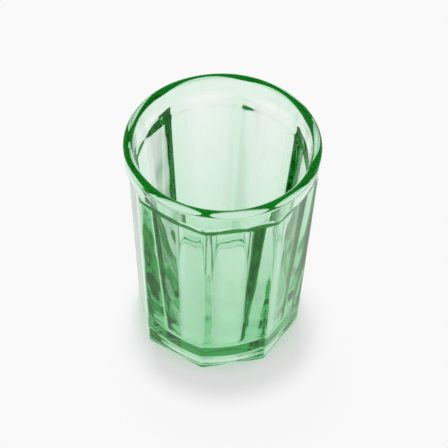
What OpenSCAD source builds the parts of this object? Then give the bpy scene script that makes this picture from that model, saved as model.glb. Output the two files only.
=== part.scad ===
// Chai glass: a pressed tumbler in green soda-lime glass, standing on its foot.
// Units are millimetres, +Z is up and the origin is the middle of the foot on the table.
// Two of the eight panels face -Y and +Y and two face -X and +X.

/* [Outer form] */
// Outside diameter of the lip
rim_d = 75; // [68:0.5:84]
// Height from the table to the top of the lip
height = 97; // [84:0.5:112]
// Thickness of the rounded lip
lip_t = 3.45; // [3:0.05:3.9]
// How far the lip stands out from the wall on each side
lip_proud = 0.1; // [0.05:0.05:0.2]
// Outside diameter of the ridges at the table
foot_d = 65.4; // [63:0.2:68]

/* [Panels] */
// Depth of a panel below the round outside, at the table
panel_dip_foot = 2.35; // [2.15:0.05:2.4]
// Depth of a panel below the round outside, at its upper end
panel_dip_top = 2.55; // [2.3:0.05:2.7]
// Height of the plain collar, from the upper end of a panel to the top of the lip
collar_h = 11.3; // [9:0.1:15]
// Radius of the hollow ledge between a panel and the collar
ledge_r = 3.6; // [3:0.1:4.5]

/* [Inside] */
// Height of the floor inside above the table
floor_h = 6; // [5:0.1:8]
// Radius of the round corner around the floor
floor_corner_r = 4; // [2.5:0.1:5]
// How far that corner stays inside the flat inner faces
floor_inset = 0.25; // [0.15:0.05:0.5]
// Distance from a panel to the ring of inner faces at the table
wall_foot = 8.6; // [7.6:0.1:9.4]
// Distance from a panel to the ring of inner faces at their bend
wall_bend = 2.75; // [2.6:0.05:3.2]
// Distance from a panel to the ring of inner faces at their upper ends
wall_top = 2.3; // [2.2:0.05:2.7]
// How far below a panel's upper end the inner faces bend
bend_drop = 13.7; // [11:0.1:20]
// How far below a panel's upper end the inner faces end
bore_drop = 2.7; // [2:0.1:6]
// Turn of the ring of inner faces against the panels, in degrees
bore_turn = 6.5; // [0:0.5:11]
// Lean of the short step above the inner faces, in degrees from upright
step_lean = 26; // [20:1:40]
// How far the mouth stands out from the creases between the inner faces
mouth_step = 0.1; // [0.05:0.05:0.3]

/* [Foot] */
// Bevel along the lower edge of the foot
foot_bevel = 1; // [0.6:0.1:1.3]
// Width of the standing ring at the middle of a panel
ring_w = 1.35; // [1:0.05:4]
// Depth of the recess under the base
recess_h = 2.2; // [1.2:0.1:2.6]
// Width of the sloping edge of the recess
recess_slope_w = 4.5; // [3:0.1:7]

/* [Hidden] */
panels = 8;
bore_faces = 16;
glass_green = [0.55, 0.84, 0.62, 0.55];
// Cutters run past the glass by this much
over = 1;
// Rise of the flare from the floor corner out to the faces, for each unit outwards
flare_rise = 3;
$fn = 128;

// Lengths that follow from others are kept to hundredths
function hundredth(x) = round(100 * x) / 100;

// The lip is a round bead, and the wall runs up to its middle
lip_r = lip_t / 2;
lip_h = height - lip_r;
collar_r = rim_d / 2 - lip_proud;
mouth_top_r = rim_d / 2 - lip_t + lip_proud;
// Panels, from the axis out
panel_h = height - collar_h;
collar_lean = (collar_r - foot_d / 2) / lip_h;
panel_foot_r = hundredth(foot_d / 2 - panel_dip_foot);
panel_top_r = hundredth(foot_d / 2 + collar_lean * panel_h - panel_dip_top);
// Inner faces and the round mouth over them
panel_lean = (panel_top_r - panel_foot_r) / panel_h;
bend_h = panel_h - bend_drop;
bore_h = panel_h - bore_drop;
bore_foot_r = panel_foot_r - wall_foot;
bend_r = hundredth(panel_foot_r + panel_lean * bend_h - wall_bend);
bore_top_r = hundredth(panel_foot_r + panel_lean * bore_h - wall_top);
bore_lean = (bend_r - bore_foot_r) / bend_h;
mouth_r = hundredth(bore_top_r / cos(180 / bore_faces) + mouth_step);
// Middle of the rounded corner around the floor
corner_h = floor_h + floor_corner_r;
corner_r = hundredth(bore_foot_r + bore_lean * corner_h - floor_inset - floor_corner_r);
corner_c = [corner_r, corner_h];
// Radius of the recess at the table
recess_r = panel_foot_r - foot_bevel - ring_w;
// Cutters reach out to here
reach = max(rim_d, foot_d) / 2 + over;

// Side view of one panel cutter: a sloping flat with a bevel at the table, running up into a
// round hollow under the collar
module panel_side() {
    polygon([
        [panel_foot_r - foot_bevel - over, -over],
        [panel_foot_r + foot_bevel * panel_lean, foot_bevel],
        [panel_top_r, panel_h],
        [panel_top_r + ledge_r, panel_h],
        [panel_top_r + ledge_r, panel_h + ledge_r],
        [reach, panel_h + ledge_r],
        [reach, -over]
    ]);
    translate([panel_top_r + ledge_r, panel_h]) circle(r = ledge_r);
}

// A ring of cutters, one for each panel, each wide enough to meet its neighbours
module panel_cutters() {
    for (i = [0 : panels - 1])
        rotate([0, 0, i * 360 / panels])
            rotate([90, 0, 0])
                linear_extrude(height = 2 * (reach + over) * tan(180 / panels), center = true)
                    panel_side();
}

// Side view of the bore between two opposite inner faces, with the step over them
module bore_side() {
    step_w = tan(step_lean) * (height + over - bore_h);
    half = [
        [bore_foot_r - over * bore_lean, -over],
        [bend_r, bend_h],
        [bore_top_r, bore_h],
        [bore_top_r + step_w, height + over]
    ];
    polygon(concat(half, [for (i = [len(half) - 1 : -1 : 0]) [-half[i][0], half[i][1]]]));
}

// The round form of the bore: floor, rounded corner, flare, and the mouth up to the lip
module round_bore() {
    flare_w = mouth_r - corner_r - floor_corner_r;
    rotate_extrude() {
        polygon([
            [0, floor_h],
            [corner_r, floor_h],
            corner_c,
            corner_c + [floor_corner_r, 0],
            [mouth_r, corner_h + flare_rise * flare_w],
            [mouth_r, bore_h],
            [mouth_top_r, lip_h],
            [mouth_top_r, height],
            [0, height]
        ]);
        translate(corner_c) circle(r = floor_corner_r);
    }
}

// The whole bore: the round form inside the ring of flat faces
module bore() {
    intersection() {
        round_bore();
        intersection_for (i = [0 : bore_faces / 2 - 1])
            rotate([0, 0, (i + 0.5) * 360 / bore_faces + bore_turn])
                rotate([90, 0, 0])
                    linear_extrude(height = 2 * reach, center = true)
                        bore_side();
    }
}

// The hollow under the base, with its sloping edge
module foot_recess() {
    run = recess_slope_w / recess_h;
    translate([0, 0, -over])
        cylinder(r1 = recess_r + over * run, r2 = recess_r - recess_slope_w, h = recess_h + over);
}

// The whole tumbler: one pressing of green glass
module tumbler() {
    color(glass_green) {
        difference() {
            cylinder(r1 = foot_d / 2, r2 = collar_r, h = lip_h);
            panel_cutters();
            bore();
            foot_recess();
        }
        rotate_extrude() translate([rim_d / 2 - lip_r, lip_h]) circle(r = lip_r);
    }
}

tumbler();
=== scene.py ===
import math

import bpy
import numpy as np
from mathutils import Matrix, Vector


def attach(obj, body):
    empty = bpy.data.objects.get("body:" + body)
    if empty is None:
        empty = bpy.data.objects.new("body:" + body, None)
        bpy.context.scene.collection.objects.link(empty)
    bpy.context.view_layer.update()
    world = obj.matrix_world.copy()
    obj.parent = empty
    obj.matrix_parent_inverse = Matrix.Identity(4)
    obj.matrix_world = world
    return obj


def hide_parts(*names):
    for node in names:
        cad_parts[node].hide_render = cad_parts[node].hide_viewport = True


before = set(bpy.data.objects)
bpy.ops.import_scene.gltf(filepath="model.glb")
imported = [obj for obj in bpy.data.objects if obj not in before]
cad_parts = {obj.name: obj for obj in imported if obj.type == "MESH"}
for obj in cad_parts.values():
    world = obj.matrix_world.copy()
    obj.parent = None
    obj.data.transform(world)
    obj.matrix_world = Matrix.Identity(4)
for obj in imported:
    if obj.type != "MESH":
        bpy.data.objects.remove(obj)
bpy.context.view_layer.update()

# Panels and collar
# The outside of the pressing: a slightly tapered round body with eight flat panels pressed
# into it by the mould. Each panel runs up into a hollow ledge under the plain round collar.
# Lengths here and below are millimetres. Angles turn from the front panel towards +X.
height = 97.0
rim_r = 37.5
taper = 0.0476
ridge_r = 32.85
ridge_round = 0.7
panel_taper = 0.051
panel_angle = math.pi / 8
ledge_h = 85.9
ledge_r = 3.6
ledge_round = 0.35
lip_r = 1.85
lip_proud = 0.1
lip_h = height - lip_r
lip_middle = rim_r - lip_r
neck_round = 0.1
# The ledge's curve stops at this share of its radius, just before it is level
ledge_share = 0.999
# Farther out than any glass
far_out = 1000.0
# Faint waves from the mould: how many around, rise for each millimetre, start and strength
ripple_h = 0.012
waves = [(17, 0.16, 0.0, 1.0), (11, -0.27, 1.7, 0.8), (5, 0.42, 0.0, 0.6)]

# Each half panel gets the same angles, set closer together at a ridge and at a panel's middle
half_panels = 16
steps = 16
crowding = 0.55
share = np.arange(steps) / steps
share = crowding * (0.5 - 0.5 * np.cos(np.pi * share)) + (1 - crowding) * share
turn = np.concatenate([panel_angle * (half + share) for half in range(half_panels)])


def lesser(a, b, blend):
    near = np.maximum(blend - np.abs(a - b), 0) / blend
    return np.minimum(a, b) - near * near * blend / 4


def greater(a, b, blend):
    return -lesser(-a, -b, blend)


def bead(h):
    square = lip_r * lip_r - (h - lip_h) * (h - lip_h)
    return math.sqrt(square) if square > 0 else -far_out


def ripple(h):
    total = np.zeros_like(turn)
    for around, rise, start, strength in waves:
        total += strength * np.sin(around * turn + rise * h + start)
    return ripple_h * total


def ledge(h):
    top = ledge_share * ledge_r
    rise = min(max(h - ledge_h, 0.0), top)
    past = far_out if h > ledge_h + top else 0.0
    return ledge_r - math.sqrt(ledge_r * ledge_r - rise * rise) + past


def outside(h):
    flat = (ridge_r + panel_taper * h) * math.cos(panel_angle) + ledge(h)
    off = np.abs((turn + panel_angle) % (2 * panel_angle) - panel_angle)
    panels = lesser(flat / np.cos(off), flat / np.cos(2 * panel_angle - off), ridge_round)
    wall = lesser(panels - ripple(h), rim_r - lip_proud - taper * (lip_h - h), ledge_round)
    return greater(wall, lip_middle + bead(h), neck_round)


# Foot
# The underside of the pressing: a narrow standing ring around a shallow recess with a
# sloping edge, left by the mould's bottom plate. The outer edge is softly rounded.
recess_r = 28.0
recess_h = 2.2
recess_slope_w = 4.5
recess_middle_share = 0.1
foot_round = 1.2
recess_rings = 20
standing_rings = 4
foot_round_rings = 6
panel_rings = 49
ledge_rings = 59
collar_rings = 29
# Rings lie closer together between these heights, over the ledge
ledge_low = ledge_h - 0.5
ledge_high = ledge_h + ledge_r + 0.8

rings = []
for s in np.linspace(recess_middle_share, 1, recess_rings):
    r = s * recess_r
    h = recess_h * min(1.0, (recess_r - r) / recess_slope_w)
    rings.append((np.full_like(turn, r), h))
foot_edge = outside(0.0) - foot_round
for s in np.linspace(0, 1, standing_rings + 1)[1:]:
    rings.append((recess_r + (foot_edge - recess_r) * s, 0.0))
for a in np.linspace(0, math.pi / 2, foot_round_rings + 1)[1:]:
    h = foot_round * (1 - math.cos(a))
    rings.append((outside(h) - foot_round * (1 - math.sin(a)), h))
for h in np.linspace(foot_round, ledge_low, panel_rings + 1)[1:]:
    rings.append((outside(h), h))
for h in np.linspace(ledge_low, ledge_high, ledge_rings + 1)[1:]:
    rings.append((outside(h), h))
for h in np.linspace(ledge_high, lip_h, collar_rings + 1)[1:]:
    rings.append((outside(h), h))

# Bore
# The inside of the pressing, formed by the plunger: sixteen flat faces, set a little askew to
# the panels, lean out from a thick foot, bend where the wall gets thin and end in a short
# step. Above them the mouth is round up to the lip.
bore_foot_r = 21.75
bend_h = 72.0
bend_r = 30.99
bend_round = 1.0
crease_round = 0.8
step_h = 83.0
step_r = 31.95
step_lean = math.radians(26)
step_round = 0.4
mouth_r = 32.68
mouth_top_r = rim_r - 2 * lip_r + lip_proud
floor_h = 6.0
floor_round = 4.0
floor_middle_share = 0.1
face_turn = math.radians(11.25)
plunger_turn = math.radians(6.5)
# The waves inside are those of the outside, taken this much higher up
plunger_wave_h = 40.0
lip_rings = 48
mouth_rings = 29
step_rings = 71
face_rings = 47
floor_round_rings = 10
floor_rings = 7
# Rings lie closer together between these heights, over the step and the bend
step_high = 90.0
bend_low = 74.0


def inside(h):
    foot = bore_foot_r + (bend_r - bore_foot_r) * h / bend_h
    wall = bend_r + (step_r - bend_r) * (h - bend_h) / (step_h - bend_h)
    step = step_r + math.tan(step_lean) * (h - step_h)
    flat = greater(lesser(foot, wall, bend_round), step, step_round)
    off = np.abs((turn - plunger_turn + panel_angle) % (2 * panel_angle) - panel_angle)
    near = flat / np.cos(off - face_turn)
    behind = flat / np.cos(off + face_turn)
    beyond = flat / np.cos(2 * panel_angle - off - face_turn)
    bore = lesser(lesser(near, behind, crease_round), beyond, crease_round)
    bore = bore + ripple(h + plunger_wave_h)
    if h < bend_h:
        return bore
    mouth = mouth_r + (mouth_top_r - mouth_r) * (h - step_h) / (lip_h - step_h)
    return lesser(lesser(bore, mouth, step_round), lip_middle - bead(h), neck_round)


for a in np.linspace(0, math.pi, lip_rings + 1)[1:]:
    h = lip_h + lip_r * math.sin(a)
    rings.append((np.full_like(turn, lip_middle + lip_r * math.cos(a)), h))
for h in np.linspace(lip_h, step_high, mouth_rings + 1)[1:]:
    rings.append((inside(h), h))
for h in np.linspace(step_high, bend_low, step_rings + 1)[1:]:
    rings.append((inside(h), h))
for h in np.linspace(bend_low, floor_h + floor_round, face_rings + 1)[1:]:
    rings.append((inside(h), h))
for a in np.linspace(0, math.pi / 2, floor_round_rings + 1)[1:]:
    h = floor_h + floor_round * (1 - math.sin(a))
    rings.append((inside(h) - floor_round * (1 - math.cos(a)), h))
floor_edge = rings[-1][0]
for s in np.linspace(1, floor_middle_share, floor_rings + 1)[1:]:
    rings.append((floor_edge * s, floor_h))

# Green glass
# Soda-lime glass tinted with iron and chrome: clear where it is thin and deep green where
# the light runs a long way through it. Pressing leaves its surface very slightly uneven.
millimetre = 0.001
refraction = 1.52
mirror_green = (0.4, 0.7, 0.45, 1)
body_green = (0.0, 0.7, 0.2, 1)
body_density = 49.0
clean_film = (1.0, 1.0, 1.0, 1)
smeared_film = (0.985, 0.995, 0.985, 1)
smear_scale = 55.0
smear_detail = 4.0
# The polish starts to dull at the first of these values of the smears, and is dullest at the second
smear_start = 0.45
smear_full = 0.75
smear_roughness = 0.006

points = []
for r, h in rings:
    points.append(np.stack([r * np.sin(turn), -r * np.cos(turn), np.full_like(turn, h)], -1))
points.append(np.array([[0, 0, recess_h], [0, 0, floor_h]]))
points = np.concatenate(points) * millimetre
count = len(turn)
here = np.arange(count)
after = (here + 1) % count
faces = []
for k in range(len(rings) - 1):
    lower = k * count
    upper = lower + count
    faces += np.stack([lower + here, lower + after, upper + after, upper + here], -1).tolist()
last = (len(rings) - 1) * count
under_middle = len(rings) * count
floor_middle = under_middle + 1
faces += [[under_middle, int(b), int(a)] for a, b in zip(here, after)]
faces += [[floor_middle, int(last + a), int(last + b)] for a, b in zip(here, after)]
mesh = bpy.data.meshes.new("glass_tumbler")
mesh.from_pydata(points.tolist(), [], faces)
mesh.polygons.foreach_set("use_smooth", [True] * len(mesh.polygons))
mesh.update()
tumbler = bpy.data.objects.new("glass_tumbler", mesh)
bpy.context.scene.collection.objects.link(tumbler)

glass = bpy.data.materials.new("green_glass")
glass.use_nodes = True
nodes = glass.node_tree.nodes
links = glass.node_tree.links
surface = nodes["Principled BSDF"]
surface.inputs["IOR"].default_value = refraction
surface.inputs["Transmission Weight"].default_value = 1.0
surface.inputs["Specular Tint"].default_value = mirror_green
place = nodes.new("ShaderNodeTexCoord")
smears = nodes.new("ShaderNodeTexNoise")
smears.inputs["Scale"].default_value = smear_scale
smears.inputs["Detail"].default_value = smear_detail
links.new(place.outputs["Object"], smears.inputs["Vector"])
polish = nodes.new("ShaderNodeMapRange")
polish.inputs["From Min"].default_value = smear_start
polish.inputs["From Max"].default_value = smear_full
polish.inputs["To Max"].default_value = smear_roughness
links.new(smears.outputs[0], polish.inputs["Value"])
links.new(polish.outputs[0], surface.inputs["Roughness"])
film = nodes.new("ShaderNodeMix")
film.data_type = "RGBA"
film.inputs["A"].default_value = clean_film
film.inputs["B"].default_value = smeared_film
links.new(smears.outputs[0], film.inputs["Factor"])
links.new(film.outputs["Result"], surface.inputs["Base Color"])
body = nodes.new("ShaderNodeVolumeAbsorption")
body.inputs["Color"].default_value = body_green
body.inputs["Density"].default_value = body_density
links.new(body.outputs["Volume"], nodes["Material Output"].inputs["Volume"])
mesh.materials.append(glass)
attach(tumbler, "root")
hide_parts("tumbler")

# Table
# A plain pale tabletop that looks evenly white, also through the glass. It keeps a soft
# shadow near the foot, a little to the front. Under the glass it glows with painted pale green
# light, which stands in for the light the green glass colours there. Lengths from here on are
# metres.
table_reach = 3.0
table_h = -0.0002
table_white = (0.9, 0.9, 0.9, 1)
table_roughness = 0.8
glow_white = (0.95, 0.95, 0.95, 1)
# Colour of the painted green light on the table under the glass
painted_green_light = (0.72, 0.87, 0.76, 1)
# The painted green light under the glass fades out between these distances from the middle of the
# foot
painted_green_from = 0.029
painted_green_to = 0.037
# The shadow fades out between these distances from a point in front of the middle
shadow_middle = (0.0, -0.008, 0.0)
shadow_from = 0.031
shadow_to = 0.046
# Share of the even white in the table's look, in the shadow and away from it
white_in_shadow = 0.7
white_away = 0.97

corners = [(-1, -1), (1, -1), (1, 1), (-1, 1)]
table_points = [(x * table_reach, y * table_reach, table_h) for x, y in corners]
table_mesh = bpy.data.meshes.new("table")
table_mesh.from_pydata(table_points, [], [(0, 1, 2, 3)])
table = bpy.data.objects.new("table", table_mesh)
bpy.context.scene.collection.objects.link(table)
pale = bpy.data.materials.new("pale_table")
pale.use_nodes = True
nodes = pale.node_tree.nodes
links = pale.node_tree.links
top = nodes["Principled BSDF"]
top.inputs["Base Color"].default_value = table_white
top.inputs["Roughness"].default_value = table_roughness
spot = nodes.new("ShaderNodeTexCoord")
away = nodes.new("ShaderNodeVectorMath")
away.operation = "LENGTH"
links.new(spot.outputs["Object"], away.inputs[0])
painted_green_mask = nodes.new("ShaderNodeMapRange")
painted_green_mask.interpolation_type = "SMOOTHSTEP"
painted_green_mask.inputs["From Min"].default_value = painted_green_from
painted_green_mask.inputs["From Max"].default_value = painted_green_to
links.new(away.outputs["Value"], painted_green_mask.inputs["Value"])
# Painted green light on the table under and just around the foot
painted_green_tint = nodes.new("ShaderNodeMix")
painted_green_tint.data_type = "RGBA"
painted_green_tint.inputs["A"].default_value = painted_green_light
painted_green_tint.inputs["B"].default_value = glow_white
links.new(painted_green_mask.outputs[0], painted_green_tint.inputs["Factor"])
# The table's even white glow, with the painted green light under the glass
white = nodes.new("ShaderNodeEmission")
links.new(painted_green_tint.outputs["Result"], white.inputs["Color"])
path = nodes.new("ShaderNodeLightPath")
through = nodes.new("ShaderNodeMath")
through.operation = "MAXIMUM"
links.new(path.outputs["Is Glossy Ray"], through.inputs[0])
links.new(path.outputs["Is Transmission Ray"], through.inputs[1])
before = nodes.new("ShaderNodeVectorMath")
before.operation = "DISTANCE"
before.inputs[1].default_value = shadow_middle
links.new(spot.outputs["Object"], before.inputs[0])
shade = nodes.new("ShaderNodeMapRange")
shade.interpolation_type = "SMOOTHSTEP"
shade.inputs["From Min"].default_value = shadow_from
shade.inputs["From Max"].default_value = shadow_to
shade.inputs["To Min"].default_value = white_in_shadow
shade.inputs["To Max"].default_value = white_away
links.new(before.outputs["Value"], shade.inputs["Value"])
part = nodes.new("ShaderNodeMath")
part.operation = "MULTIPLY_ADD"
links.new(path.outputs["Is Camera Ray"], part.inputs[0])
links.new(shade.outputs[0], part.inputs[1])
links.new(through.outputs[0], part.inputs[2])
blend = nodes.new("ShaderNodeMixShader")
links.new(part.outputs[0], blend.inputs[0])
links.new(top.outputs[0], blend.inputs[1])
links.new(white.outputs[0], blend.inputs[2])
links.new(blend.outputs[0], nodes["Material Output"].inputs["Surface"])
table_mesh.materials.append(pale)

# Studio light
# A round soft lamp hangs over the glass and a little behind it, in a dim room that is paler
# low down. What shows through the glass is an evenly white room.
lamp_w = 0.3
lamp_watts = 9.3
lamp_place = (0.0, 0.3, 1.0)
# Brightness of the room: through the glass, mirrored low down and high up, and for other light
room_through = 0.9
room_low = 0.3
room_high = 0.08
room_other = 0.1
# The mirrored room darkens between these rises of the line of sight, where 1 is straight up
rise_low = 0.3
rise_high = 0.7
light_steps = 40

lamp_data = bpy.data.lights.new("overhead_lamp", "AREA")
lamp_data.shape = "DISK"
lamp_data.size = lamp_w
lamp_data.energy = lamp_watts
lamp = bpy.data.objects.new("overhead_lamp", lamp_data)
lamp.location = lamp_place
lamp.rotation_euler = lamp.location.to_track_quat("Z", "Y").to_euler()
lamp.visible_glossy = False
lamp.visible_transmission = False
bpy.context.scene.collection.objects.link(lamp)

room = bpy.data.worlds.new("room")
bpy.context.scene.world = room
room.use_nodes = True
nodes = room.node_tree.nodes
links = room.node_tree.links
compass = nodes.new("ShaderNodeTexCoord")
split = nodes.new("ShaderNodeSeparateXYZ")
links.new(compass.outputs["Generated"], split.inputs[0])
walls = nodes.new("ShaderNodeMapRange")
walls.interpolation_type = "SMOOTHSTEP"
walls.inputs["From Min"].default_value = rise_low
walls.inputs["From Max"].default_value = rise_high
walls.inputs["To Min"].default_value = room_low
walls.inputs["To Max"].default_value = room_high
links.new(split.outputs["Z"], walls.inputs["Value"])
path = nodes.new("ShaderNodeLightPath")
mirrored = nodes.new("ShaderNodeMapRange")
links.new(path.outputs["Is Glossy Ray"], mirrored.inputs["Value"])
mirrored.inputs["To Min"].default_value = room_other
links.new(walls.outputs[0], mirrored.inputs["To Max"])
level = nodes.new("ShaderNodeMapRange")
links.new(path.outputs["Is Transmission Ray"], level.inputs["Value"])
links.new(mirrored.outputs[0], level.inputs["To Min"])
level.inputs["To Max"].default_value = room_through
links.new(level.outputs[0], nodes["Background"].inputs["Strength"])
nodes["Background"].inputs["Color"].default_value = (1, 1, 1, 1)
bpy.context.scene.cycles.max_bounces = light_steps
bpy.context.scene.cycles.transmission_bounces = light_steps
bpy.context.scene.cycles.glossy_bounces = light_steps
bpy.context.scene.view_settings.view_transform = "Standard"

# Camera
# A long lens that looks down at the glass from the front, a little from the left. It is rolled
# by about two degrees, and its place was fitted to the outlines of the rim and the foot.
azimuth = math.radians(-12.75)
elevation = math.radians(48.3)
roll = math.radians(1.86)
distance = 0.85892
aim_across = 0.00142
aim_h = 0.05057
focal_length = 176.79
sensor_w = 36.0

across = Vector((math.cos(azimuth), math.sin(azimuth), 0))
towards = Vector((math.sin(azimuth), -math.cos(azimuth), 0))
back = towards * math.cos(elevation) + Vector((0, 0, math.sin(elevation)))
upward = back.cross(across)
right = math.cos(roll) * across + math.sin(roll) * upward
up = math.cos(roll) * upward - math.sin(roll) * across
stand = Matrix((right, up, back)).transposed().to_4x4()
stand.translation = across * aim_across + Vector((0, 0, aim_h)) + back * distance
lens = bpy.data.cameras.new("camera")
lens.lens = focal_length
lens.sensor_width = sensor_w
camera = bpy.data.objects.new("camera", lens)
camera.matrix_world = stand
bpy.context.scene.collection.objects.link(camera)
bpy.context.scene.camera = camera
